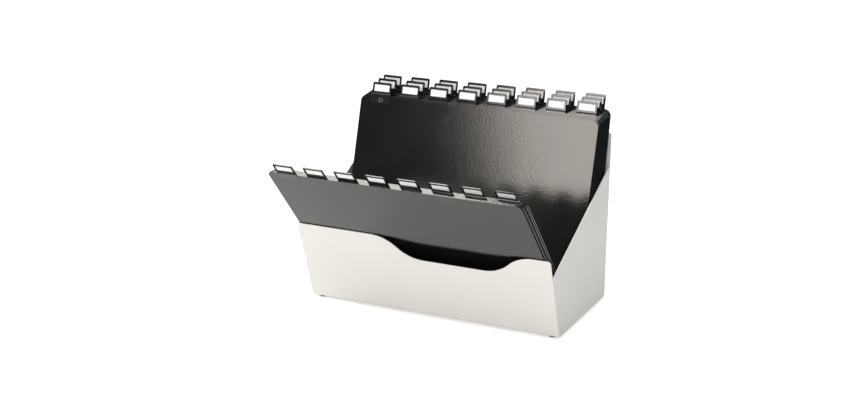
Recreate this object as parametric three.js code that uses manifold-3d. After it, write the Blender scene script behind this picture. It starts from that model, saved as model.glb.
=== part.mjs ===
// A desktop medical chart rack: a sheet-steel tray on rubber feet that holds a row of thin chart
// boards, each with a label tab clipped over its top edge. Part of the row is turned forward over
// the front panel and the rest leans on the back panel, which opens a V between the two packs.
// Millimetres, +Z up. The rack stands on Z = 0 and is centred on the origin.

import * as THREE from "three";
import { mergeVertices } from "three/addons/utils/BufferGeometryUtils.js";
import Module from "manifold-3d";

const wasm = await Module();
wasm.setup();

// Chart boards
const BOARD_WIDTH = 339;
const BOARD_HEIGHT = 235;
const BOARD_THICKNESS = 1;
const BOARD_CORNER = 8.5; // radius
const FRONT_PACK_BOARDS = 8;
const REAR_PACK_BOARDS = 24;

// Label tabs, measured up from the top edge of the board
const TAB_PLACES = 8; // a board's tab is one place further right than that of the board before it
const TAB_WIDTH = 27.4;
const TAB_LEFT_MARGIN = 15.5; // from the board's left edge to the first tab
const TAB_RIGHT_MARGIN = 9.1; // from the last tab to the board's right edge
const TAB_RISE = 18.4; // top of the label frame
const TAB_CORNER = 2.4; // radius of the frame's top corners
const TAB_BEAD = 1.3; // top of the solid bar that caps the board's edge
const TAB_NECK = 2.2; // height of the thin neck between that bar and the frame
const TAB_NECK_THICKNESS = 1;
const TAB_LEG = 9.5; // how far the two legs reach down the board's faces
const TAB_LEG_THICKNESS = 0.3;
const TAB_LEG_GAP = 0.1; // between a leg and the board's face
const TAB_CLEARANCE = 0.4; // between a tab and the next board
const SEPARATE_TABS = 16; // the tabs of the boards behind these are one piece with their boards

// Window in the frame's front face, where the label lies
const WINDOW_BEZEL_SIDE = 2.4;
const WINDOW_BEZEL_TOP = 3.1;
const WINDOW_BEZEL_BOTTOM = 2.6;
const WINDOW_DEPTH = 1.05;

// Tray
const SHEET = 1.2; // thickness of the steel
const WELD_GAP = 0.1; // seam between two welded sheets
const SIDE_PLAY = 4.3; // room at each end of a centred board
const TRAY_DEPTH = 163; // over the front and back panels, at their lower edges
const FRONT_LEAN = THREE.MathUtils.degToRad(18.2);
const FRONT_HEIGHT = 109.4;
const FRONT_CORNER = 4; // radius
const BACK_LEAN = THREE.MathUtils.degToRad(1.7);
const BACK_HEIGHT = 220.9;
const BACK_CORNER = 3; // radius
const SIDE_FRONT_HEIGHT = 85;
const SIDE_REAR_HEIGHT = 177.8;
const SIDE_REAR_CORNER = 3; // radius
const PAN_FLANGE = 15; // upturned edges of the floor pan, welded to the front and back panels

// Finger cut-out in the front panel's top edge: two S-curves down to a level stretch
const WAVE_DEPTH = 29.3;
const WAVE_RADIUS = 50; // of each of the arcs that make an S
const WAVE_CENTRE = 41.6; // right of the middle of the panel
const WAVE_SPAN = 152.2; // between the middles of the two S-curves

// Cradle for the boards' lower edges, raised above the floor pan on two rails
const CRADLE_HEIGHT = 19.3; // top of its deck above the tray's underside
const CRADLE_LIP = 10; // length of the two lips
const CRADLE_END_GAP = 4; // to the side panels
const RAIL_FLANGE = 12;
const RAIL_INSET = 6; // from the deck's front and rear folds to the rails' webs

// How the boards stand
const FIRST_BOARD_Y = -38.3; // lower edge of the front-most board, from the tray's middle
const REAR_FOOT_SPREAD = 1; // the rear boards' lower edges stand this much wider than their tops
const SEAT_GAP = 0.2; // under a board's lower edge
const REST_GAP = 0.3; // between a pack and the panel or lip that it leans on
const FRONT_PACK_WALL_GAP = 1.1; // the front pack is pushed to the left side panel
const REAR_PACK_WALL_GAP = 2; // the rear pack is pushed to the right side panel

// Rubber feet
const FOOT_RADIUS = 5.5;
const FOOT_TAPER = 0.6; // the radius lost towards the ground
const FOOT_HEIGHT = 3;
const FOOT_INSET_X = 12; // from the tray's outer faces to a foot's centre
const FOOT_INSET_Y = 8;
const FOOT_SIDES = 20;

const ARC_STEPS = 4; // straight pieces in a quarter round
const WAVE_STEPS = 6; // straight pieces in each arc of the cut-out

// Derived sizes
const trayWidth = BOARD_WIDTH + 2 * (SIDE_PLAY + SHEET);
const insideWidth = trayWidth - 2 * SHEET;
const halfDepth = TRAY_DEPTH / 2;
const underside = FOOT_HEIGHT;
const deckTop = underside + CRADLE_HEIGHT;
const seatZ = deckTop + SEAT_GAP + BOARD_THICKNESS / 2;
const tabThickness = BOARD_THICKNESS + 2 * (TAB_LEG_GAP + TAB_LEG_THICKNESS);
const packPitch = (BOARD_THICKNESS + tabThickness) / 2 + TAB_CLEARANCE;
const boardReach = BOARD_HEIGHT + TAB_RISE;
const tabPitch =
  (BOARD_WIDTH - TAB_LEFT_MARGIN - TAB_RIGHT_MARGIN - TAB_WIDTH) / (TAB_PLACES - 1);

// Y of the front panel's and the back panel's inner faces at height z
const frontInnerY = (z) =>
  -halfDepth - (z - underside) * Math.tan(FRONT_LEAN) + SHEET / Math.cos(FRONT_LEAN);
const backInnerY = (z) =>
  halfDepth + (z - underside) * Math.tan(BACK_LEAN) - SHEET / Math.cos(BACK_LEAN);

// Lean, from the vertical, of a board whose face rests on an edge that lies "out" beyond its foot
// and "up" above it
function restingLean(out, up) {
  const clear = BOARD_THICKNESS / 2 + REST_GAP;
  return Math.atan2(out, up) - Math.asin(clear / Math.hypot(out, up));
}

const frontEdgeZ = underside + FRONT_HEIGHT + SHEET * Math.sin(FRONT_LEAN);
const frontPackLean = restingLean(FIRST_BOARD_Y - frontInnerY(frontEdgeZ), frontEdgeZ - seatZ);
const frontFootPitch = packPitch / Math.cos(frontPackLean);
const firstRearY = FIRST_BOARD_Y + FRONT_PACK_BOARDS * frontFootPitch;
const rearFootPitch = packPitch + REAR_FOOT_SPREAD;
const lastRearY = firstRearY + (REAR_PACK_BOARDS - 1) * rearFootPitch;
const backEdgeZ = underside + BACK_HEIGHT + SHEET * Math.sin(BACK_LEAN);
const lastRearLean = restingLean(backInnerY(backEdgeZ) - lastRearY, backEdgeZ - seatZ);
const fanStep = Math.atan((rearFootPitch * Math.cos(lastRearLean) - packPitch) / boardReach);

// Materials
const steelPaint = new THREE.MeshStandardMaterial({ color: 0xe6e5df, roughness: 0.45, metalness: 0 });
const boardBlack = new THREE.MeshStandardMaterial({ color: 0x1a1a1b, roughness: 0.35, metalness: 0 });
const tabBlack = new THREE.MeshStandardMaterial({ color: 0x0d0d0e, roughness: 0.2, metalness: 0 });
const footRubber = new THREE.MeshStandardMaterial({ color: 0x151515, roughness: 0.8, metalness: 0 });

const rack = new THREE.Group();

function addMesh(parent, name, geometry, material) {
  const mesh = new THREE.Mesh(geometry, material);
  mesh.name = name;
  parent.add(mesh);
  return mesh;
}

// An upright plate: the outline is drawn in X and Z, and its faces lie at Y = 0 and Y = -thickness
function uprightPlate(outline, thickness, arcSteps) {
  const options = { depth: thickness, bevelEnabled: false, curveSegments: arcSteps };
  return new THREE.ExtrudeGeometry(outline, options).rotateX(Math.PI / 2);
}

// A section drawn in Y and Z and run along X, centred on X = 0
function runAlongX(section, length, arcSteps = ARC_STEPS) {
  const options = { depth: length, bevelEnabled: false, curveSegments: arcSteps };
  const toYZ = new THREE.Matrix4().makeBasis(
    new THREE.Vector3(0, 1, 0),
    new THREE.Vector3(0, 0, 1),
    new THREE.Vector3(1, 0, 0),
  );
  return new THREE.ExtrudeGeometry(section, options).translate(0, 0, -length / 2).applyMatrix4(toYZ);
}

// A rectangle with two or four round corners
function roundedRectangle(left, right, bottom, top, radius, roundBottom) {
  const lower = roundBottom ? radius : 0;
  const shape = new THREE.Shape();
  shape.moveTo(left + lower, bottom);
  shape.lineTo(right - lower, bottom);
  if (roundBottom) shape.absarc(right - lower, bottom + lower, lower, -Math.PI / 2, 0);
  shape.lineTo(right, top - radius);
  shape.absarc(right - radius, top - radius, radius, 0, Math.PI / 2);
  shape.lineTo(left + radius, top);
  shape.absarc(left + radius, top - radius, radius, Math.PI / 2, Math.PI);
  shape.lineTo(left, bottom + lower);
  if (roundBottom) shape.absarc(left + lower, bottom + lower, lower, Math.PI, 1.5 * Math.PI);
  return shape;
}

// The section of a folded sheet: a path of corners, thickened to its left where thickness is positive
function foldedSheet(path, thickness) {
  const corners = path.map(([y, z]) => new THREE.Vector2(y, z));
  const normals = corners.slice(1).map((corner, i) => {
    const along = corner.clone().sub(corners[i]).normalize();
    return new THREE.Vector2(-along.y, along.x);
  });
  const offset = corners.map((corner, i) => {
    const before = normals[Math.max(i - 1, 0)];
    const after = normals[Math.min(i, normals.length - 1)];
    const mitre = before.clone().add(after);
    return corner.clone().addScaledVector(mitre, thickness / (1 + before.dot(after)));
  });
  return new THREE.Shape([...corners, ...offset.reverse()]);
}

function toSolid(geometry) {
  geometry.deleteAttribute("normal");
  geometry.deleteAttribute("uv");
  const merged = mergeVertices(geometry, 1e-4);
  const vertProperties = new Float32Array(merged.attributes.position.array);
  const triVerts = new Uint32Array(merged.index.array);
  return new wasm.Manifold(new wasm.Mesh({ numProp: 3, vertProperties, triVerts }));
}

function toGeometry(solid) {
  const { vertProperties, triVerts } = solid.getMesh();
  const geometry = new THREE.BufferGeometry();
  geometry.setAttribute("position", new THREE.BufferAttribute(vertProperties, 3));
  geometry.setIndex(new THREE.BufferAttribute(triVerts, 1));
  geometry.computeVertexNormals();
  return geometry;
}

// Floor pan, folded up at the front and the back
const panFoldFront = frontInnerY(underside) + WELD_GAP;
const panFoldRear = backInnerY(underside) - WELD_GAP;
const panSection = foldedSheet(
  [
    [panFoldFront - PAN_FLANGE * Math.sin(FRONT_LEAN), underside + PAN_FLANGE * Math.cos(FRONT_LEAN)],
    [panFoldFront, underside],
    [panFoldRear, underside],
    [panFoldRear + PAN_FLANGE * Math.sin(BACK_LEAN), underside + PAN_FLANGE * Math.cos(BACK_LEAN)],
  ],
  SHEET,
);
addMesh(rack, "floor_pan", runAlongX(panSection, insideWidth - 2 * WELD_GAP), steelPaint);

// Front panel, leaning forward from its lower edge, with the finger cut-out in its top edge
function frontOutline() {
  const half = trayWidth / 2;
  const top = FRONT_HEIGHT / Math.cos(FRONT_LEAN);
  const bottom = top - WAVE_DEPTH;
  const turn = Math.acos(1 - WAVE_DEPTH / (2 * WAVE_RADIUS));
  const reach = WAVE_RADIUS * Math.sin(turn);
  const right = WAVE_CENTRE + WAVE_SPAN / 2;
  const left = WAVE_CENTRE - WAVE_SPAN / 2;
  const crest = top - WAVE_RADIUS;
  const trough = bottom + WAVE_RADIUS;
  const up = Math.PI / 2;
  const down = -Math.PI / 2;
  const shape = new THREE.Shape();
  shape.moveTo(-half, 0);
  shape.lineTo(half, 0);
  shape.lineTo(half, top - FRONT_CORNER);
  shape.absarc(half - FRONT_CORNER, top - FRONT_CORNER, FRONT_CORNER, 0, up);
  shape.lineTo(right + reach, top);
  shape.absarc(right + reach, crest, WAVE_RADIUS, up, up + turn);
  shape.absarc(right - reach, trough, WAVE_RADIUS, down + turn, down, true);
  shape.lineTo(left + reach, bottom);
  shape.absarc(left + reach, trough, WAVE_RADIUS, down, down - turn, true);
  shape.absarc(left - reach, crest, WAVE_RADIUS, up - turn, up);
  shape.lineTo(FRONT_CORNER - half, top);
  shape.absarc(FRONT_CORNER - half, top - FRONT_CORNER, FRONT_CORNER, up, Math.PI);
  return shape;
}
const frontPlate = uprightPlate(frontOutline(), SHEET, WAVE_STEPS).translate(0, SHEET, 0);
const frontPanel = addMesh(rack, "front_panel", frontPlate, steelPaint);
frontPanel.position.set(0, -halfDepth, underside);
frontPanel.rotation.x = FRONT_LEAN;

// Back panel, leaning back a little, with round top corners
const backTop = BACK_HEIGHT / Math.cos(BACK_LEAN);
const backOutline = roundedRectangle(-trayWidth / 2, trayWidth / 2, 0, backTop, BACK_CORNER, false);
const backPanel = addMesh(rack, "back_panel", uprightPlate(backOutline, SHEET, ARC_STEPS), steelPaint);
backPanel.position.set(0, halfDepth, underside);
backPanel.rotation.x = -BACK_LEAN;

// Side panels between the front and back panels, with a straight sloping top edge
function sideOutline() {
  const front = (z) => frontInnerY(z) + WELD_GAP;
  const rear = (z) => backInnerY(z) - WELD_GAP;
  const frontTop = underside + SIDE_FRONT_HEIGHT;
  const rearTop = underside + SIDE_REAR_HEIGHT;
  const slope = new THREE.Vector2(front(frontTop) - rear(rearTop), frontTop - rearTop).normalize();
  const shape = new THREE.Shape();
  shape.moveTo(front(underside), underside);
  shape.lineTo(rear(underside), underside);
  shape.lineTo(rear(rearTop - SIDE_REAR_CORNER), rearTop - SIDE_REAR_CORNER);
  shape.quadraticCurveTo(
    rear(rearTop),
    rearTop,
    rear(rearTop) + SIDE_REAR_CORNER * slope.x,
    rearTop + SIDE_REAR_CORNER * slope.y,
  );
  shape.lineTo(front(frontTop), frontTop);
  return shape;
}
const sideX = (trayWidth - SHEET) / 2;
for (const [name, x] of [["left_side_panel", -sideX], ["right_side_panel", sideX]]) {
  addMesh(rack, name, runAlongX(sideOutline(), SHEET), steelPaint).position.x = x;
}

// Cradle: a deck with a lip along the front-most board's face and one along the rear-most board's
const boardClear = BOARD_THICKNESS / 2 + REST_GAP;
const deckDrop = seatZ - deckTop;
const deckFront =
  FIRST_BOARD_Y + deckDrop * Math.tan(frontPackLean) - boardClear / Math.cos(frontPackLean);
const deckRear = lastRearY - deckDrop * Math.tan(lastRearLean) + boardClear / Math.cos(lastRearLean);
const cradleSection = foldedSheet(
  [
    [deckFront - CRADLE_LIP * Math.sin(frontPackLean), deckTop + CRADLE_LIP * Math.cos(frontPackLean)],
    [deckFront, deckTop],
    [deckRear, deckTop],
    [deckRear + CRADLE_LIP * Math.sin(lastRearLean), deckTop + CRADLE_LIP * Math.cos(lastRearLean)],
  ],
  -SHEET,
);
const cradleLength = insideWidth - 2 * CRADLE_END_GAP;
addMesh(rack, "board_cradle", runAlongX(cradleSection, cradleLength), steelPaint);

// Two channel rails carry the cradle, with their flanges turned towards each other
const railBottom = underside + SHEET + WELD_GAP;
const railTop = deckTop - SHEET - WELD_GAP;
function addRail(name, web, flangeEnd, side) {
  const section = foldedSheet(
    [
      [flangeEnd, railTop],
      [web, railTop],
      [web, railBottom],
      [flangeEnd, railBottom],
    ],
    side * SHEET,
  );
  addMesh(rack, name, runAlongX(section, cradleLength), steelPaint);
}
const frontWeb = deckFront + RAIL_INSET;
const rearWeb = deckRear - RAIL_INSET;
addRail("cradle_rail_front", frontWeb, frontWeb + RAIL_FLANGE, 1);
addRail("cradle_rail_rear", rearWeb, rearWeb - RAIL_FLANGE, -1);

// Rubber feet, stuck under the corners of the floor pan
const footHeight = FOOT_HEIGHT - WELD_GAP;
const footX = trayWidth / 2 - FOOT_INSET_X;
const footY = halfDepth - FOOT_INSET_Y;
for (const [row, y] of [["front", -footY], ["rear", footY]]) {
  for (const [side, x] of [["left", -footX], ["right", footX]]) {
    const foot = new THREE.CylinderGeometry(
      FOOT_RADIUS - FOOT_TAPER,
      FOOT_RADIUS,
      footHeight,
      FOOT_SIDES,
    );
    foot.rotateX(-Math.PI / 2).translate(x, y, footHeight / 2);
    addMesh(rack, `foot_${row}_${side}`, foot, footRubber);
  }
}

// One chart board, standing on Z = 0 with its middle plane at Y = 0
function boardGeometry() {
  const half = BOARD_WIDTH / 2;
  const outline = roundedRectangle(-half, half, 0, BOARD_HEIGHT, BOARD_CORNER, true);
  return uprightPlate(outline, BOARD_THICKNESS, ARC_STEPS).translate(0, BOARD_THICKNESS / 2, 0);
}

// The section of a tab's clip: two legs, the bar across the board's edge, and the neck above it.
// Without its slot it is one block, to be joined to a board.
function clipSection(slotted, neckTop) {
  const outer = tabThickness / 2;
  const inner = BOARD_THICKNESS / 2 + TAB_LEG_GAP;
  const neck = TAB_NECK_THICKNESS / 2;
  const shape = new THREE.Shape();
  shape.moveTo(-outer, -TAB_LEG);
  if (slotted) {
    shape.lineTo(-inner, -TAB_LEG);
    shape.lineTo(-inner, TAB_LEG_GAP);
    shape.lineTo(inner, TAB_LEG_GAP);
    shape.lineTo(inner, -TAB_LEG);
  }
  shape.lineTo(outer, -TAB_LEG);
  shape.lineTo(outer, TAB_BEAD);
  shape.lineTo(neck, TAB_BEAD);
  shape.lineTo(neck, neckTop);
  shape.lineTo(-neck, neckTop);
  shape.lineTo(-neck, TAB_BEAD);
  shape.lineTo(-outer, TAB_BEAD);
  return shape;
}

// A label tab, with Z = 0 at the board's top edge and the window in its front face
function tabSolid(slotted) {
  const half = TAB_WIDTH / 2;
  const frameBottom = TAB_BEAD + TAB_NECK;
  const overlap = WINDOW_BEZEL_BOTTOM / 2;
  const clip = toSolid(runAlongX(clipSection(slotted, frameBottom + overlap), TAB_WIDTH));
  const outline = roundedRectangle(-half, half, frameBottom, TAB_RISE, TAB_CORNER, false);
  const frame = uprightPlate(outline, tabThickness, ARC_STEPS).translate(0, tabThickness / 2, 0);
  const windowHeight = TAB_RISE - frameBottom - WINDOW_BEZEL_TOP - WINDOW_BEZEL_BOTTOM;
  const recess = new THREE.BoxGeometry(
    TAB_WIDTH - 2 * WINDOW_BEZEL_SIDE,
    2 * WINDOW_DEPTH,
    windowHeight,
  );
  recess.translate(0, -tabThickness / 2, frameBottom + WINDOW_BEZEL_BOTTOM + windowHeight / 2);
  return clip.add(toSolid(frame)).subtract(toSolid(recess));
}

const looseTab = toGeometry(tabSolid(true));
const fixedTab = tabSolid(false);

// A board in its place in the row, with its tab: clipped on, or in one piece with the board
function addBoard(number, x, y, lean) {
  const label = String(number).padStart(2, "0");
  const place = (number - 1) % TAB_PLACES;
  const tabX = -BOARD_WIDTH / 2 + TAB_LEFT_MARGIN + TAB_WIDTH / 2 + place * tabPitch;
  const stand = new THREE.Group();
  stand.position.set(x, y, seatZ);
  stand.rotation.x = -lean;
  rack.add(stand);
  if (number <= SEPARATE_TABS) {
    addMesh(stand, `chart_board_${label}`, boardGeometry(), boardBlack);
    const tab = addMesh(stand, `label_tab_${label}`, looseTab, tabBlack);
    tab.position.set(tabX, 0, BOARD_HEIGHT);
  } else {
    const joined = toSolid(boardGeometry()).add(fixedTab.translate(tabX, 0, BOARD_HEIGHT));
    addMesh(stand, `chart_board_${label}`, toGeometry(joined), boardBlack);
  }
}

// Front pack, turned forward over the front panel, and rear pack, fanned out from the back panel
const frontShift = FRONT_PACK_WALL_GAP - SIDE_PLAY;
const rearShift = SIDE_PLAY - REAR_PACK_WALL_GAP;
for (let i = 0; i < FRONT_PACK_BOARDS; i++) {
  addBoard(i + 1, frontShift, FIRST_BOARD_Y + i * frontFootPitch, -frontPackLean);
}
for (let i = 0; i < REAR_PACK_BOARDS; i++) {
  const lean = lastRearLean + (REAR_PACK_BOARDS - 1 - i) * fanStep;
  addBoard(FRONT_PACK_BOARDS + i + 1, rearShift, firstRearY + i * rearFootPitch, lean);
}

// The packs reach further forward than back, so the whole rack is moved to stand centred
rack.updateMatrixWorld(true);
const extent = new THREE.Box3().setFromObject(rack);
rack.position.y = -(extent.min.y + extent.max.y) / 2;

export default rack;
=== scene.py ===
import math

import bmesh
import bpy
from mathutils import Matrix, Vector


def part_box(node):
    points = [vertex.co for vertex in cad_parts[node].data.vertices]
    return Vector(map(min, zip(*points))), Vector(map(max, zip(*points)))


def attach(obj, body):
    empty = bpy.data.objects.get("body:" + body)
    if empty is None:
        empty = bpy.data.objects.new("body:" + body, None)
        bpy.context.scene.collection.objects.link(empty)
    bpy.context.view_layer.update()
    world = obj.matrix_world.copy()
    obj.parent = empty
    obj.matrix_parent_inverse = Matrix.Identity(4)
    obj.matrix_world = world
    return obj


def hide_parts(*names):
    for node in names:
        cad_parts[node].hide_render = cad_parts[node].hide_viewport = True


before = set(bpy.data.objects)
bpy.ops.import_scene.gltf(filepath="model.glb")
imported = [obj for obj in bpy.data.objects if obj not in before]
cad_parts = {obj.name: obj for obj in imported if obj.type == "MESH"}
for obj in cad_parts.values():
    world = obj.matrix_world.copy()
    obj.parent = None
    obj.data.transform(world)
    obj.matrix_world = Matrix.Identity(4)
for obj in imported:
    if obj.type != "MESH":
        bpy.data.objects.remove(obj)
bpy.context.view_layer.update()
scene = bpy.context.scene


# White powder coat on the tray: a satin polyester skin baked onto the steel. It has the faint
# orange-peel ripple of sprayed powder and a barely visible unevenness of tone.

COAT_COLOUR = (0.795, 0.787, 0.752, 1)
COAT_SHADE = (0.770, 0.762, 0.727, 1)
COAT_RIPPLE = 0.0011  # size of one ripple
COAT_RIPPLE_HEIGHT = 0.00003


def node_at(tree, kind, **settings):
    """A new node of that kind, with its settings or its unlinked inputs set by name."""
    node = tree.nodes.new(kind)
    for name, value in settings.items():
        if hasattr(node, name):
            setattr(node, name, value)
        else:
            node.inputs[name.replace("_", " ")].default_value = value
    return node


def surface_grain_group():
    """Fine bumps over a slow drift of tone, the two scales at which a skin of paint or plastic varies."""
    group = bpy.data.node_groups.new("surface_grain", "ShaderNodeTree")
    face = group.interface
    for name in ("Grain Size", "Drift Size"):
        face.new_socket(name=name, in_out="INPUT", socket_type="NodeSocketFloat")
    for name in ("Height", "Drift"):
        face.new_socket(name=name, in_out="OUTPUT", socket_type="NodeSocketFloat")
    given = group.nodes.new("NodeGroupInput")
    result = group.nodes.new("NodeGroupOutput")
    place = group.nodes.new("ShaderNodeTexCoord")
    for size, outcome, detail in (("Grain Size", "Height", 2.0), ("Drift Size", "Drift", 3.0)):
        per_metre = node_at(group, "ShaderNodeMath", operation="DIVIDE")
        per_metre.inputs[0].default_value = 1.0
        group.links.new(given.outputs[size], per_metre.inputs[1])
        noise = node_at(group, "ShaderNodeTexNoise", Detail=detail, Roughness=0.55)
        group.links.new(place.outputs["Object"], noise.inputs["Vector"])
        group.links.new(per_metre.outputs[0], noise.inputs["Scale"])
        group.links.new(noise.outputs["Fac"], result.inputs[outcome])
    return group


def finish_material(name, colours, roughness, grain_size, drift_size, bump_height, bump_strength):
    """A Principled finish whose tone and gloss drift slowly, over a fine grain in its normal."""
    material = bpy.data.materials.new(name)
    material.use_nodes = True
    tree = material.node_tree
    shader = tree.nodes["Principled BSDF"]
    grain = node_at(tree, "ShaderNodeGroup", node_tree=surface_grain)
    grain.inputs["Grain Size"].default_value = grain_size
    grain.inputs["Drift Size"].default_value = drift_size
    tone = node_at(tree, "ShaderNodeMix", data_type="RGBA")
    tone.inputs[6].default_value = colours[0]
    tone.inputs[7].default_value = colours[1]
    tree.links.new(grain.outputs["Drift"], tone.inputs["Factor"])
    tree.links.new(tone.outputs[2], shader.inputs["Base Color"])
    gloss = node_at(tree, "ShaderNodeMapRange", From_Min=0.3, From_Max=0.7)
    gloss.inputs["To Min"].default_value = roughness[0]
    gloss.inputs["To Max"].default_value = roughness[1]
    tree.links.new(grain.outputs["Drift"], gloss.inputs["Value"])
    tree.links.new(gloss.outputs["Result"], shader.inputs["Roughness"])
    bump = node_at(tree, "ShaderNodeBump", Strength=bump_strength, Distance=bump_height)
    tree.links.new(grain.outputs["Height"], bump.inputs["Height"])
    tree.links.new(bump.outputs["Normal"], shader.inputs["Normal"])
    return material


surface_grain = surface_grain_group()
powder_coat = finish_material(
    "white_powder_coat",
    (COAT_COLOUR, COAT_SHADE),
    roughness=(0.40, 0.50),
    grain_size=COAT_RIPPLE,
    drift_size=0.06,
    bump_height=COAT_RIPPLE_HEIGHT,
    bump_strength=0.35,
)


# Tray: floor pan, front, back and side panels of folded sheet steel, spot-welded along their
# seams. The cut edges are rounded by deburring and by the thickness of the coat.

SHEET_EDGE = 0.00032  # radius of a deburred and coated edge
SHARP_EDGE = math.radians(40)
FLAT_TURN = math.radians(0.5)  # faces that turn less than this are one face
FLAT_FACE = 0.00005  # square metres, above which a face is part of the flat sheet
WELD = 1e-6  # corners nearer than this are one corner


def coated(mesh, *finishes):
    """The mesh with these finishes in place of its own."""
    mesh.materials.clear()
    for finish in finishes:
        mesh.materials.append(finish)
    return mesh


def add_piece(name, mesh, body, slot, *nodes):
    """A finished piece: its mesh, body and the nodes that it stands for. The slot is not used."""
    mesh.name = name
    piece = bpy.data.objects.new(name, mesh)
    scene.collection.objects.link(piece)
    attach(piece, body)
    if nodes:
        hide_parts(*nodes)
    return piece


def rounded_copy(node, radius):
    """The node's own solid, joined up and with every sharp edge rounded off."""
    shell = bmesh.new()
    shell.from_mesh(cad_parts[node].data)
    bmesh.ops.remove_doubles(shell, verts=shell.verts, dist=WELD)
    bmesh.ops.dissolve_limit(shell, angle_limit=FLAT_TURN, verts=shell.verts, edges=shell.edges)
    sharp = [edge for edge in shell.edges if edge.calc_face_angle(0) > SHARP_EDGE]
    bmesh.ops.bevel(
        shell, geom=sharp, offset=radius, segments=2, profile=0.5, affect="EDGES", clamp_overlap=True
    )
    for face in shell.faces:
        face.smooth = face.calc_area() < FLAT_FACE
    mesh = bpy.data.meshes.new(node)
    shell.to_mesh(mesh)
    shell.free()
    return mesh


for part in ("floor_pan", "front_panel", "back_panel", "left_side_panel", "right_side_panel"):
    sheet = coated(rounded_copy(part, SHEET_EDGE), powder_coat)
    add_piece(f"{part}_sheet", sheet, "tray", "steel_paint", part)


# Cradle and rails: a channel-shaped shelf for the boards' lower edges on two folded rails, of the
# same coated steel, welded to the floor pan.

for part in ("board_cradle", "cradle_rail_front", "cradle_rail_rear"):
    sheet = coated(rounded_copy(part, SHEET_EDGE), powder_coat)
    add_piece(f"{part}_sheet", sheet, "tray", "steel_paint", part)


# Feet: four moulded rubber pads, slightly tapered, with a rounded rim and a shallow dish in the
# sole, glued under the corners of the floor pan.

FOOT_RIM = 0.0006
FOOT_RIM_STEPS = 4
FOOT_DISH = 0.0003
FOOT_DISH_FLAT = 0.5  # of the sole's radius
FOOT_DISH_EDGE = 0.62
FOOT_TURNS = 48
RUBBER = (0.016, 0.016, 0.017, 1)
RUBBER_BLOOM = (0.030, 0.030, 0.031, 1)

foot_rubber = finish_material(
    "black_foot_rubber",
    (RUBBER, RUBBER_BLOOM),
    roughness=(0.70, 0.85),
    grain_size=0.0004,
    drift_size=0.004,
    bump_height=0.00003,
    bump_strength=0.5,
)


def turned(profile, centre, turns):
    """A solid turned about the vertical through centre, from a profile of (radius, height) points."""
    shell = bmesh.new()
    corners = [shell.verts.new((radius, 0, height)) for radius, height in profile]
    edges = [shell.edges.new(pair) for pair in zip(corners, corners[1:])]
    bmesh.ops.spin(
        shell,
        geom=corners + edges,
        axis=(0, 0, 1),
        cent=(0, 0, 0),
        angle=2 * math.pi,
        steps=turns,
        use_merge=True,
    )
    bmesh.ops.remove_doubles(shell, verts=shell.verts, dist=WELD)
    bmesh.ops.recalc_face_normals(shell, faces=shell.faces)
    bmesh.ops.translate(shell, verts=shell.verts, vec=centre)
    for face in shell.faces:
        face.smooth = True
    mesh = bpy.data.meshes.new("turned")
    shell.to_mesh(mesh)
    shell.free()
    mesh.set_sharp_from_angle(angle=SHARP_EDGE)
    return mesh


for row in ("front", "rear"):
    for side in ("left", "right"):
        node = f"foot_{row}_{side}"
        low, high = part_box(node)
        top_radius = (high.x - low.x) / 2
        tall = high.z - low.z
        sole_radius = top_radius - FOOT_RIM
        rim = [
            (
                sole_radius - FOOT_RIM + FOOT_RIM * math.sin(turn),
                FOOT_RIM - FOOT_RIM * math.cos(turn),
            )
            for turn in (math.pi / 2 / FOOT_RIM_STEPS * step for step in range(FOOT_RIM_STEPS + 1))
        ]
        dish = [
            (0, FOOT_DISH),
            (sole_radius * FOOT_DISH_FLAT, FOOT_DISH),
            (sole_radius * FOOT_DISH_EDGE, 0),
        ]
        profile = dish + rim + [(top_radius, tall), (0, tall)]
        middle = Vector(((low.x + high.x) / 2, (low.y + high.y) / 2, low.z))
        pad = coated(turned(profile, middle, FOOT_TURNS), foot_rubber)
        add_piece(f"{node}_pad", pad, "tray", "foot_rubber", node)


# Chart boards: thin black plastic sheets with round corners, embossed with a fine leather grain
# and die-cut, which leaves their side edges matt. A few boards carry a painted highlight, a light
# grey on the side edges of some and on the top corners of others. They stand loose in the
# cradle. All are grown from one rule, a filleted rectangle.

BOARD_CORNER = 0.0085
BOARD_THICKNESS = 0.001
BOARD_EDGE = 0.00013  # rounding of the die-cut edge
BOARD_BLACK = (0.0040, 0.0040, 0.0042, 1)
BOARD_BLOOM = (0.0064, 0.0063, 0.0061, 1)
BOARD_SHEEN = (0.99, 1, 0.93, 1)
SHEARED_BLACK = (0.0030, 0.0030, 0.0032, 1)
SHEARED_GREY = (0.0055, 0.0055, 0.0055, 1)
SHEARED_SPECULAR = 0.005
SHEARED_LEAN = (-0.2, 0.95)  # how far a face looks back, between which it is a sheared edge
UPWARD = 0.5  # an edge that looks up more than this keeps the sheet's gloss
# Painted highlight: a light grey in place of the black, for the light that the rounded edges and corners
# of a few boards catch.
PAINTED_HIGHLIGHT_DARK = (0.18, 0.18, 0.175, 1)
PAINTED_HIGHLIGHT_LIGHT = (0.26, 0.26, 0.25, 1)
BOARDS = 32
# The boards whose side edges, and then the boards whose top corners, get the painted highlight.
PAINTED_HIGHLIGHT_EDGES = (3, 6, 8)  # boards of the front pack
PAINTED_HIGHLIGHT_CORNERS = range(11, BOARDS + 1, 4)  # boards of the rear pack
CORNER_TURN = 0.12  # a face of a top corner looks aside and up by more than this
BOARD_FOOT = 0.0001  # corners within this height of the lower edge belong to it

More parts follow.
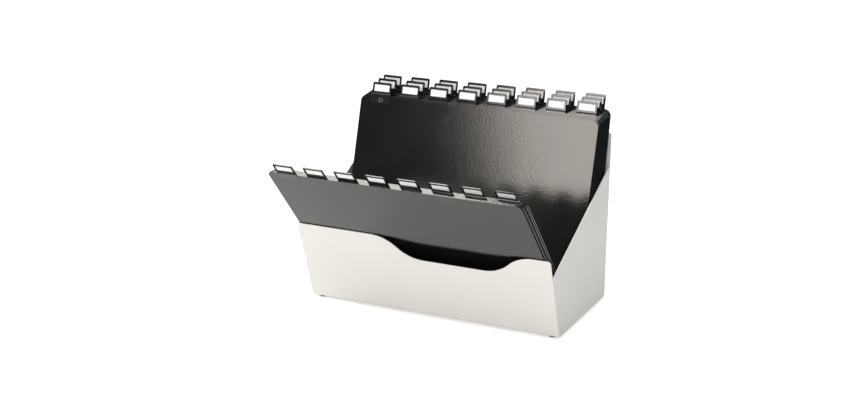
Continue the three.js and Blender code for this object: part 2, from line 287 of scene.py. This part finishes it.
board_sheet = finish_material(
    "black_board_sheet",
    (BOARD_BLACK, BOARD_BLOOM),
    roughness=(0.09, 0.12),
    grain_size=0.0022,
    drift_size=0.05,
    bump_height=0.00009,
    bump_strength=1.0,
)
board_sheet.node_tree.nodes["Principled BSDF"].inputs["Specular Tint"].default_value = BOARD_SHEEN
sheared_edge = finish_material(
    "sheared_board_edge",
    (SHEARED_BLACK, SHEARED_GREY),
    roughness=(0.60, 0.75),
    grain_size=0.0005,
    drift_size=0.01,
    bump_height=0.00003,
    bump_strength=0.5,
)
sheared_shader = sheared_edge.node_tree.nodes["Principled BSDF"]
sheared_shader.inputs["Specular IOR Level"].default_value = SHEARED_SPECULAR
# The painted highlight finish: a light grey on the black sheet that paints in the light caught along a
# few boards' edges.
painted_highlight_edge = finish_material(
    "painted_highlight_board_edge",
    (PAINTED_HIGHLIGHT_DARK, PAINTED_HIGHLIGHT_LIGHT),
    roughness=(0.25, 0.40),
    grain_size=0.0005,
    drift_size=0.01,
    bump_height=0.00003,
    bump_strength=0.5,
)


def geometry_tree(name, sizes):
    """A new geometry tree and its input node, with a socket for each size and for the material."""
    tree = bpy.data.node_groups.new(name, "GeometryNodeTree")
    face = tree.interface
    face.new_socket(name="Geometry", in_out="INPUT", socket_type="NodeSocketGeometry")
    for size in sizes:
        face.new_socket(name=size, in_out="INPUT", socket_type="NodeSocketFloat")
    face.new_socket(name="Material", in_out="INPUT", socket_type="NodeSocketMaterial")
    face.new_socket(name="Geometry", in_out="OUTPUT", socket_type="NodeSocketGeometry")
    return tree, tree.nodes.new("NodeGroupInput")


def put_out(tree, given, geometry):
    """The end of a geometry tree: real faces in the given material."""
    real = tree.nodes.new("GeometryNodeRealizeInstances")
    tree.links.new(geometry, real.inputs["Geometry"])
    coat = tree.nodes.new("GeometryNodeSetMaterial")
    tree.links.new(real.outputs["Geometry"], coat.inputs["Geometry"])
    tree.links.new(given.outputs["Material"], coat.inputs["Material"])
    result = tree.nodes.new("NodeGroupOutput")
    tree.links.new(coat.outputs["Geometry"], result.inputs["Geometry"])


def round_edges(solid, radius, segments):
    """A rounding of all the sharp edges that the solid has at this point."""
    bevel = solid.modifiers.new("edge", "BEVEL")
    bevel.width = radius
    bevel.segments = segments
    bevel.limit_method = "ANGLE"
    bevel.angle_limit = SHARP_EDGE


def grown_mesh(tree, values, edge):
    """What a geometry tree makes with these values, with its sharp edges rounded, as a plain mesh."""
    seed = bpy.data.objects.new(tree.name, bpy.data.meshes.new(tree.name))
    scene.collection.objects.link(seed)
    grow = seed.modifiers.new("grow", "NODES")
    grow.node_group = tree
    for socket in tree.interface.items_tree:
        if socket.in_out == "INPUT" and socket.name in values:
            grow[socket.identifier] = values[socket.name]
    if edge:
        round_edges(seed, edge, 2)
    ready = bpy.context.evaluated_depsgraph_get()
    mesh = bpy.data.meshes.new_from_object(seed.evaluated_get(ready))
    bpy.data.objects.remove(seed)
    return mesh


def plate_tree():
    """A plate with four round corners that stands on the ground, its middle plane at Y = 0."""
    sizes = ("Width", "Height", "Corner", "Thickness")
    tree, given = geometry_tree("round_cornered_plate", sizes)
    link = tree.links.new
    outline = node_at(tree, "GeometryNodeCurvePrimitiveQuadrilateral", mode="RECTANGLE")
    link(given.outputs["Width"], outline.inputs["Width"])
    link(given.outputs["Height"], outline.inputs["Height"])
    fillet = node_at(tree, "GeometryNodeFilletCurve", mode="POLY", Count=12)
    link(outline.outputs["Curve"], fillet.inputs["Curve"])
    link(given.outputs["Corner"], fillet.inputs["Radius"])
    face = node_at(tree, "GeometryNodeFillCurve", mode="NGONS")
    link(fillet.outputs["Curve"], face.inputs["Curve"])
    thick = node_at(tree, "GeometryNodeExtrudeMesh", mode="FACES", Individual=False)
    link(face.outputs["Mesh"], thick.inputs["Mesh"])
    link(given.outputs["Thickness"], thick.inputs["Offset Scale"])
    back = tree.nodes.new("GeometryNodeFlipFaces")
    link(face.outputs["Mesh"], back.inputs["Mesh"])
    whole = tree.nodes.new("GeometryNodeJoinGeometry")
    link(thick.outputs["Mesh"], whole.inputs["Geometry"])
    link(back.outputs["Mesh"], whole.inputs["Geometry"])
    closed = node_at(tree, "GeometryNodeMergeByDistance", Distance=WELD)
    link(whole.outputs["Geometry"], closed.inputs["Geometry"])
    rise = tree.nodes.new("ShaderNodeCombineXYZ")
    for size, axis in (("Thickness", "Y"), ("Height", "Z")):
        half = node_at(tree, "ShaderNodeMath", operation="MULTIPLY")
        half.inputs[1].default_value = 0.5
        link(given.outputs[size], half.inputs[0])
        link(half.outputs[0], rise.inputs[axis])
    stand = tree.nodes.new("GeometryNodeTransform")
    stand.inputs["Rotation"].default_value = (math.pi / 2, 0, 0)
    link(closed.outputs["Geometry"], stand.inputs["Geometry"])
    link(rise.outputs["Vector"], stand.inputs["Translation"])
    put_out(tree, given, stand.outputs["Geometry"])
    return tree


def board_stand(node):
    """Where a board stands: X along it, Y through it and Z up it, from the middle of its lower edge."""
    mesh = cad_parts[node].data
    through = max(mesh.polygons, key=lambda face: face.area).normal.copy()
    if through.y < 0:
        through.negate()
    along = Vector((1, 0, 0))
    up = along.cross(through)
    low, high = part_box(node)
    foot_height = min(vertex.co.dot(up) for vertex in mesh.vertices)
    lower = [vertex.co for vertex in mesh.vertices if vertex.co.dot(up) < foot_height + BOARD_FOOT]
    depths = [corner.dot(through) for corner in lower]
    foot = up * foot_height + through * (min(depths) + max(depths)) / 2
    foot.x = (low.x + high.x) / 2
    axes = Matrix((along, through, up)).transposed().to_4x4()
    return Matrix.Translation(foot) @ axes


stands = [board_stand(f"chart_board_{number:02d}") for number in range(1, BOARDS + 1)]
first_low, first_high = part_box("chart_board_01")
board_width = first_high.x - first_low.x
board_height = max(
    (stands[0].inverted() @ vertex.co).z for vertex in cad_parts["chart_board_01"].data.vertices
)
plate_rule = plate_tree()
plate = grown_mesh(
    plate_rule,
    {
        "Width": board_width,
        "Height": board_height,
        "Corner": BOARD_CORNER,
        "Thickness": BOARD_THICKNESS,
        "Material": board_sheet,
    },
    BOARD_EDGE,
)
coated(plate, board_sheet, sheared_edge, painted_highlight_edge)
SHEET, SHEARED, PAINTED_HIGHLIGHT = range(3)  # places of the finishes on the mesh
for face in plate.polygons:
    face.use_smooth = face.area < FLAT_FACE
    sheared = SHEARED_LEAN[0] < face.normal.y < SHEARED_LEAN[1] and face.normal.z < UPWARD
    face.material_index = SHEARED if sheared else SHEET
for number, stand in enumerate(stands, start=1):
    mesh = plate.copy()
    mesh.transform(stand)
    for face, posed in zip(plate.polygons, mesh.polygons):
        # Side edges of some front boards and top corners of some rear boards take the painted highlight.
        corner = abs(face.normal.x) > CORNER_TURN and face.normal.z > CORNER_TURN
        highlighted = number in PAINTED_HIGHLIGHT_EDGES and face.material_index == SHEARED
        if highlighted or (number in PAINTED_HIGHLIGHT_CORNERS and corner):
            posed.material_index = PAINTED_HIGHLIGHT
    name = f"chart_board_{number:02d}"
    add_piece(f"{name}_plate", mesh, f"board_{number:02d}", "board_black", name)


# Label tabs: black plastic mouldings, each a finely grained frame with a window on a thin neck,
# over a glossy clip whose two legs straddle the board's top edge. They step from left to right
# along the row.

TAB_PLACES = 8
TABS_OF_THEIR_OWN = 16
TAB_WIDTH = 0.0274
TAB_RISE = 0.0184
TAB_BEAD = 0.0013
TAB_NECK = 0.0022
TAB_NECK_HALF = 0.0003
TAB_NECK_STEP = 0.0004  # height over which the neck draws in above the bead
TAB_NECK_FLARE = 0.0014  # height over which it widens to the frame
TAB_FLARE_HALF = 0.0008
TAB_LEG = 0.0095
TAB_HALF = 0.0009
TAB_SLOT_HALF = 0.0006
TAB_SLOT_ROOF = 0.0001
TAB_CORNER = 0.0024
TAB_CORNER_STEPS = 8
FRAME_EDGE = 0.0004  # rounding of the frame and bevel of its window
TAB_EDGE = 0.00012
TAB_FLAT = 0.000005  # square metres, above which a face is flat
BEZEL_SIDE = 0.0024
BEZEL_TOP = 0.0031
BEZEL_BOTTOM = 0.0026
WINDOW_DEPTH = 0.00105
TAB_BLACK = (0.008, 0.008, 0.0085, 1)
TAB_FLOW = (0.014, 0.014, 0.0145, 1)
TAB_SPECULAR = 0.55
FRAME_SLANT_SPECULAR = 0.04
FRAME_SLANT = (0.25, 0.5)  # how far a face turns from the eye, between which its grain dulls it

tab_plastic, frame_plastic = (
    finish_material(
        name,
        (TAB_BLACK, TAB_FLOW),
        roughness=(0.10, 0.15),
        grain_size=0.0006,
        drift_size=0.012,
        bump_height=0.00001,
        bump_strength=0.25,
    )
    for name in ("black_tab_plastic", "grained_tab_plastic")
)
for plastic in (tab_plastic, frame_plastic):
    shader = plastic.node_tree.nodes["Principled BSDF"]
    shader.inputs["Specular IOR Level"].default_value = TAB_SPECULAR


def dull_at_a_slant(material, slant, gloss):
    """A link from the view to the gloss, which falls from the first to the second over the slant."""
    tree = material.node_tree
    aside = tree.nodes.new("ShaderNodeLayerWeight")
    level = tree.nodes.new("ShaderNodeMapRange")
    level.inputs["From Min"].default_value, level.inputs["From Max"].default_value = slant
    level.inputs["To Min"].default_value, level.inputs["To Max"].default_value = gloss
    tree.links.new(aside.outputs["Facing"], level.inputs["Value"])
    tree.links.new(level.outputs["Result"], tree.nodes["Principled BSDF"].inputs["Specular IOR Level"])


dull_at_a_slant(frame_plastic, FRAME_SLANT, (TAB_SPECULAR, FRAME_SLANT_SPECULAR))


def prism(rings, to_point):
    """A closed solid through rings of (outline, depth), each corner placed by to_point."""
    shell = bmesh.new()
    loops = []
    for outline, depth in rings:
        loops.append([shell.verts.new(to_point(u, v, depth)) for u, v in outline])
    shell.faces.new(loops[0])
    shell.faces.new(loops[-1])
    for near, far in zip(loops, loops[1:]):
        for i in range(len(near)):
            j = (i + 1) % len(near)
            shell.faces.new((near[i], near[j], far[j], far[i]))
    bmesh.ops.recalc_face_normals(shell, faces=shell.faces)
    mesh = bpy.data.meshes.new("prism")
    shell.to_mesh(mesh)
    shell.free()
    solid = bpy.data.objects.new("prism", mesh)
    scene.collection.objects.link(solid)
    return solid


def across(x, z, y):
    """A point of an outline that is drawn on the tab's face."""
    return (x, y, z)


def lengthwise(y, z, x):
    """A point of a section that runs along the tab."""
    return (x, y, z)


def tab_mesh():
    """A tab, with the board's top edge at Z = 0 and the window in its front face, at -Y."""
    frame_bottom = TAB_BEAD + TAB_NECK
    half = TAB_WIDTH / 2
    outline = [(-half, frame_bottom), (half, frame_bottom)]
    for centre, start in ((half - TAB_CORNER, 0), (TAB_CORNER - half, math.pi / 2)):
        for step in range(TAB_CORNER_STEPS + 1):
            turn = start + math.pi / 2 * step / TAB_CORNER_STEPS
            outline.append(
                (
                    centre + TAB_CORNER * math.cos(turn),
                    TAB_RISE - TAB_CORNER + TAB_CORNER * math.sin(turn),
                )
            )
    holder = prism([(outline, -TAB_HALF), (outline, TAB_HALF)], across)
    round_edges(holder, FRAME_EDGE, 3)
    into_frame = frame_bottom + BEZEL_BOTTOM / 2
    section = [
        (-TAB_HALF, -TAB_LEG),
        (-TAB_SLOT_HALF, -TAB_LEG),
        (-TAB_SLOT_HALF, TAB_SLOT_ROOF),
        (TAB_SLOT_HALF, TAB_SLOT_ROOF),
        (TAB_SLOT_HALF, -TAB_LEG),
        (TAB_HALF, -TAB_LEG),
        (TAB_HALF, TAB_BEAD),
        (TAB_NECK_HALF, TAB_BEAD + TAB_NECK_STEP),
        (TAB_NECK_HALF, frame_bottom - TAB_NECK_FLARE),
        (TAB_FLARE_HALF, frame_bottom),
        (TAB_FLARE_HALF, into_frame),
        (-TAB_FLARE_HALF, into_frame),
        (-TAB_FLARE_HALF, frame_bottom),
        (-TAB_NECK_HALF, frame_bottom - TAB_NECK_FLARE),
        (-TAB_NECK_HALF, TAB_BEAD + TAB_NECK_STEP),
        (-TAB_HALF, TAB_BEAD),
    ]
    clip = prism([(section, -half), (section, half)], lengthwise)
    rings = []
    for spread, depth in ((2 * FRAME_EDGE, -FRAME_EDGE), (0, FRAME_EDGE), (0, WINDOW_DEPTH)):
        left, right = BEZEL_SIDE - half - spread, half - BEZEL_SIDE + spread
        bottom, top = frame_bottom + BEZEL_BOTTOM - spread, TAB_RISE - BEZEL_TOP + spread
        rings.append(([(left, bottom), (right, bottom), (right, top), (left, top)], depth - TAB_HALF))
    window = prism(rings, across)
    for other, operation in ((clip, "UNION"), (window, "DIFFERENCE")):
        cut = holder.modifiers.new(operation.lower(), "BOOLEAN")
        cut.object = other
        cut.operation = operation
        cut.solver = "EXACT"
    round_edges(holder, TAB_EDGE, 2)
    ready = bpy.context.evaluated_depsgraph_get()
    mesh = bpy.data.meshes.new_from_object(holder.evaluated_get(ready))
    for solid in (holder, clip, window):
        bpy.data.objects.remove(solid)
    mesh.set_sharp_from_angle(angle=SHARP_EDGE)
    for face in mesh.polygons:
        face.use_smooth = face.area < TAB_FLAT
    return mesh


tab_shape = coated(tab_mesh(), tab_plastic, frame_plastic)
for face in tab_shape.polygons:
    face.material_index = 1 if face.center.z > TAB_BEAD else 0
tab_seats = []
for number, stand in enumerate(stands, start=1):
    twin = f"{TABS_OF_THEIR_OWN - TAB_PLACES + 1 + (number - 1) % TAB_PLACES:02d}"
    tab_low, tab_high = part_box(f"label_tab_{twin}")
    board_low, board_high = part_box(f"chart_board_{twin}")
    offset = (tab_low.x + tab_high.x - board_low.x - board_high.x) / 2
    seat = stand @ Matrix.Translation((offset, 0, board_height))
    tab_seats.append(seat)
    mesh = tab_shape.copy()
    mesh.transform(seat)
    nodes = [f"label_tab_{number:02d}"] if number <= TABS_OF_THEIR_OWN else []
    add_piece(f"label_tab_{number:02d}_moulding", mesh, f"board_{number:02d}", "tab_black", *nodes)


# Label cards: blank slips of white card that slide into the windows of the tabs and lie flat
# against the back of the recess.

CARD_THICKNESS = 0.00022
CARD_GAP = 0.00012  # between the card's edge and the window
CARD_CORNER = 0.0004
CARD_WHITE = (0.92, 0.92, 0.91, 1)
CARD_FIBRE = (0.89, 0.89, 0.88, 1)

label_card = finish_material(
    "white_label_card",
    (CARD_WHITE, CARD_FIBRE),
    roughness=(0.50, 0.60),
    grain_size=0.0005,
    drift_size=0.003,
    bump_height=0.00002,
    bump_strength=0.2,
)
card = grown_mesh(
    plate_rule,
    {
        "Width": TAB_WIDTH - 2 * (BEZEL_SIDE + CARD_GAP),
        "Height": TAB_RISE - TAB_BEAD - TAB_NECK - BEZEL_TOP - BEZEL_BOTTOM - 2 * CARD_GAP,
        "Corner": CARD_CORNER,
        "Thickness": CARD_THICKNESS,
        "Material": label_card,
    },
    0,
)
coated(card, label_card)
card_y = WINDOW_DEPTH - TAB_HALF - CARD_THICKNESS / 2
card_z = TAB_BEAD + TAB_NECK + BEZEL_BOTTOM + CARD_GAP
for number, seat in enumerate(tab_seats, start=1):
    mesh = card.copy()
    mesh.transform(seat @ Matrix.Translation((0, card_y, card_z)))
    add_piece(f"label_card_{number:02d}", mesh, f"board_{number:02d}", "label_card")


# Eyelets: blackened steel rings with a rolled flange, set through each tab's front leg and the
# board to rivet the two together.

EYELET_RING = 0.0026  # radius to the middle of the rolled flange
EYELET_ROLL = 0.00075  # half the flange's width
EYELET_FLATNESS = 0.16  # the flange is pressed flat into the leg
EYELET_DROP = 0.0053  # below the board's top edge
EYELET_SINK = 0.00007  # middle of the flange below the leg's face
EYELET_METAL = (0.13, 0.13, 0.135, 1)
EYELET_TARNISH = (0.09, 0.09, 0.093, 1)

eyelet_metal = finish_material(
    "blackened_eyelet_metal",
    (EYELET_METAL, EYELET_TARNISH),
    roughness=(0.20, 0.32),
    grain_size=0.0003,
    drift_size=0.002,
    bump_height=0.00001,
    bump_strength=0.2,
)
eyelet_metal.node_tree.nodes["Principled BSDF"].inputs["Metallic"].default_value = 1


def eyelet_tree():
    """A flattened ring, its axis along Y."""
    tree, given = geometry_tree("rolled_eyelet", ("Ring", "Roll", "Flatness"))
    link = tree.links.new
    ring = node_at(tree, "GeometryNodeCurvePrimitiveCircle", Resolution=32)
    link(given.outputs["Ring"], ring.inputs["Radius"])
    roll = node_at(tree, "GeometryNodeCurvePrimitiveCircle", Resolution=12)
    link(given.outputs["Roll"], roll.inputs["Radius"])
    torus = tree.nodes.new("GeometryNodeCurveToMesh")
    link(ring.outputs["Curve"], torus.inputs["Curve"])
    link(roll.outputs["Curve"], torus.inputs["Profile Curve"])
    squeeze = tree.nodes.new("ShaderNodeCombineXYZ")
    squeeze.inputs["X"].default_value = 1
    squeeze.inputs["Y"].default_value = 1
    link(given.outputs["Flatness"], squeeze.inputs["Z"])
    press = tree.nodes.new("GeometryNodeTransform")
    press.inputs["Rotation"].default_value = (math.pi / 2, 0, 0)
    link(torus.outputs["Mesh"], press.inputs["Geometry"])
    link(squeeze.outputs["Vector"], press.inputs["Scale"])
    put_out(tree, given, press.outputs["Geometry"])
    return tree


eyelet = grown_mesh(
    eyelet_tree(),
    {
        "Ring": EYELET_RING,
        "Roll": EYELET_ROLL,
        "Flatness": EYELET_FLATNESS,
        "Material": eyelet_metal,
    },
    0,
)
coated(eyelet, eyelet_metal)
for face in eyelet.polygons:
    face.use_smooth = True
for number, seat in enumerate(tab_seats, start=1):
    mesh = eyelet.copy()
    mesh.transform(seat @ Matrix.Translation((0, EYELET_SINK - TAB_HALF, -EYELET_DROP)))
    add_piece(f"eyelet_{number:02d}", mesh, f"board_{number:02d}", "eyelet_metal")


# Studio: a wide pale floor that stays white and keeps the rack's soft shadow, a dim even surround,
# and seven softboxes: three in front, one at the side, one behind, one up left and one overhead.

FLOOR_RADIUS = 40
FLOOR_COLOUR = (0.82, 0.82, 0.82, 1)
FLOOR_LIFT = 0.47  # added for the lens and for reflections, so that the floor round the rack is white
FLOOR_FADE = (1.2, 3.0)  # metres from the rack, between which the lens sees plain white take over
SURROUND = 0.18
LAMP_WHITE = (1, 0.99, 0.97)
FRONT_TINT = (1, 0.93, 0.92)
FRONT_ROLL = math.radians(20)

floor_mesh = bpy.data.meshes.new("floor")
floor_shape = bmesh.new()
bmesh.ops.create_circle(floor_shape, cap_ends=True, radius=FLOOR_RADIUS, segments=64)
floor_shape.to_mesh(floor_mesh)
floor_shape.free()
floor = bpy.data.objects.new("floor", floor_mesh)
scene.collection.objects.link(floor)


def floor_paper():
    """White paper that takes shadows near the rack and fades to plain white away from it."""
    material = bpy.data.materials.new("white_studio_floor")
    material.use_nodes = True
    tree = material.node_tree
    link = tree.links.new
    tree.nodes.remove(tree.nodes["Principled BSDF"])
    lit = node_at(tree, "ShaderNodeBsdfDiffuse", Color=FLOOR_COLOUR)
    ray = tree.nodes.new("ShaderNodeLightPath")
    seen = node_at(tree, "ShaderNodeMath", operation="MAXIMUM")
    link(ray.outputs["Is Camera Ray"], seen.inputs[0])
    link(ray.outputs["Is Glossy Ray"], seen.inputs[1])
    shown = node_at(tree, "ShaderNodeMath", operation="MAXIMUM")
    link(seen.outputs[0], shown.inputs[0])
    link(ray.outputs["Is Transmission Ray"], shown.inputs[1])
    lift = node_at(tree, "ShaderNodeMath", operation="MULTIPLY")
    lift.inputs[1].default_value = FLOOR_LIFT
    link(shown.outputs[0], lift.inputs[0])
    place = tree.nodes.new("ShaderNodeTexCoord")
    apart = node_at(tree, "ShaderNodeVectorMath", operation="LENGTH")
    link(place.outputs["Object"], apart.inputs[0])
    fade = tree.nodes.new("ShaderNodeMapRange")
    fade.inputs["From Min"].default_value, fade.inputs["From Max"].default_value = FLOOR_FADE
    link(apart.outputs["Value"], fade.inputs["Value"])
    far = node_at(tree, "ShaderNodeMath", operation="MULTIPLY")
    link(fade.outputs["Result"], far.inputs[0])
    link(ray.outputs["Is Camera Ray"], far.inputs[1])
    strength = node_at(tree, "ShaderNodeMath", operation="MAXIMUM")
    link(lift.outputs[0], strength.inputs[0])
    link(far.outputs[0], strength.inputs[1])
    glow = tree.nodes.new("ShaderNodeEmission")
    link(strength.outputs[0], glow.inputs["Strength"])
    both = tree.nodes.new("ShaderNodeAddShader")
    link(lit.outputs[0], both.inputs[0])
    link(glow.outputs[0], both.inputs[1])
    link(both.outputs[0], tree.nodes["Material Output"].inputs["Surface"])
    return material


floor_mesh.materials.append(floor_paper())
surround = bpy.data.worlds.new("studio")
scene.world = surround
surround.use_nodes = True
sky = surround.node_tree.nodes["Background"]
sky.inputs["Color"].default_value = (1, 1, 1, 1)
sky.inputs["Strength"].default_value = SURROUND


def softbox(name, centre, target, size, power, colour):
    """A rectangular soft light at centre that faces target."""
    lamp = bpy.data.lights.new(name, "AREA")
    lamp.shape = "RECTANGLE"
    lamp.size, lamp.size_y = size
    lamp.energy = power
    lamp.color = colour
    light = bpy.data.objects.new(name, lamp)
    scene.collection.objects.link(light)
    light.location = centre
    light.rotation_euler = (Vector(target) - Vector(centre)).to_track_quat("-Z", "Y").to_euler()
    return light


front = softbox("front_softbox", (-0.57, -2.02, 0.86), (0, 0.02, 0.14), (0.56, 1.0), 16.3, FRONT_TINT)
front.rotation_euler.rotate_axis("Z", FRONT_ROLL)
softbox("low_softbox", (0.55, -2.4, 0.2), (0, 0, 0.1), (1.8, 0.3), 5.5, LAMP_WHITE)
softbox("fill_softbox", (0.95, -1.65, 1.5), (0, 0, 0.2), (0.5, 0.5), 9, LAMP_WHITE)
softbox("side_softbox", (2.6, 0.1, 1.5), (0, 0, 0.1), (1.6, 1.2), 4, LAMP_WHITE)
softbox("rear_softbox", (0.3, 2.8, 1.9), (0, 0.9, 0.1), (1.8, 1.0), 26, LAMP_WHITE)
softbox("edge_softbox", (-0.92, -0.72, 2.2), (0, -0.05, 0.1), (1.0, 0.6), 29, LAMP_WHITE)
softbox("overhead_softbox", (0.1, 0.1, 2.6), (0, 0.02, 0.1), (2.0, 2.0), 25, (1, 1, 1))


# Camera: the eye stands to the right of the rack and looks a little down on it, with a long lens.

EYE = Vector((0.81767, -1.71870, 0.73829))
LOOK = Vector((-0.41825, 0.8578, -0.29873))
LENS_SHARE = 1.83815  # focal length as a share of the picture's width

view = bpy.data.cameras.new("camera")
view.sensor_fit = "HORIZONTAL"
view.lens = LENS_SHARE * view.sensor_width
view.clip_end = 200
eye = bpy.data.objects.new("camera", view)
scene.collection.objects.link(eye)
eye.location = EYE
eye.rotation_euler = LOOK.to_track_quat("-Z", "Y").to_euler()
scene.camera = eye
scene.view_settings.view_transform = "Standard"
